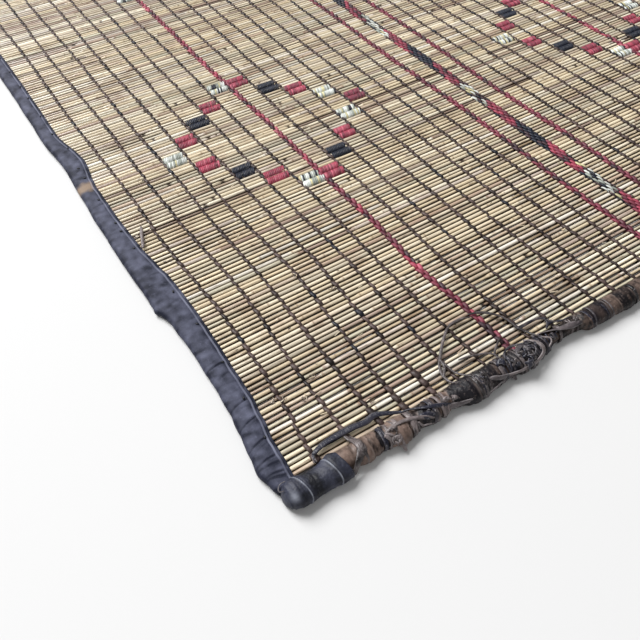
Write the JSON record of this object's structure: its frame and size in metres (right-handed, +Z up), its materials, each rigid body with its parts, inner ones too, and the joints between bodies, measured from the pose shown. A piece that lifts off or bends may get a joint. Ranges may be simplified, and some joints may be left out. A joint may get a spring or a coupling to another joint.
{
  "type": "tuareg mat",
  "caption": "Flat rectangular reed mat twined with leather thongs, with leather-bound side edges, rolled leather ends and corner sleeves.",
  "frame": {"origin": "middle of the mat's underside, on the ground that it lies on", "axes": "+X along the reeds, to the right; +Y along the thongs, from the frayed front edge to the back; +Z up"},
  "size_m": [0.7411, 1.051, 0.0133],
  "materials": {
    "reed": "dry, slightly glossy straw",
    "thong_brown": "dry dark brown leather thong",
    "thong_red": "dyed crimson leather thong",
    "binding_indigo": "soft grey indigo leather",
    "cap_black": "worn blue black leather, slightly glossy"
  },
  "bodies": {
    "root": {"reed_panel": "reed", "binding_left": "binding_indigo", "binding_right": "binding_indigo", "roll_front": "thong_brown", "roll_back": "thong_brown", "cap_front_left": "cap_black", "cap_front_right": "cap_black", "cap_back_left": "cap_black", "cap_back_right": "cap_black", "weft_01": "thong_brown", "weft_02": "thong_brown", "weft_03": "thong_brown", "weft_04": "thong_brown", "weft_05": "thong_brown", "weft_06": "thong_brown", "weft_07": "thong_brown", "weft_08": "thong_red", "weft_09": "thong_brown", "weft_10": "thong_brown", "weft_11": "thong_brown", "weft_12": "thong_brown", "weft_13": "thong_brown", "weft_14": "thong_brown", "weft_15": "thong_brown", "weft_16": "thong_red", "weft_17": "thong_red", "weft_18": "thong_red", "weft_19": "thong_brown", "weft_20": "thong_brown", "weft_21": "thong_brown", "weft_22": "thong_brown", "weft_23": "thong_brown", "weft_24": "thong_brown", "weft_25": "thong_brown", "weft_26": "thong_red", "weft_27": "thong_brown", "weft_28": "thong_brown", "weft_29": "thong_brown", "weft_30": "thong_brown", "weft_31": "thong_brown", "weft_32": "thong_brown", "weft_33": "thong_brown", "loose_thong_1": "cap_black", "loose_thong_2": "thong_brown", "loose_thong_3": "thong_brown", "loose_thong_4": "thong_brown", "loose_thong_5": "thong_brown", "loose_thong_6": "thong_brown"}
  },
  "joints": []
}
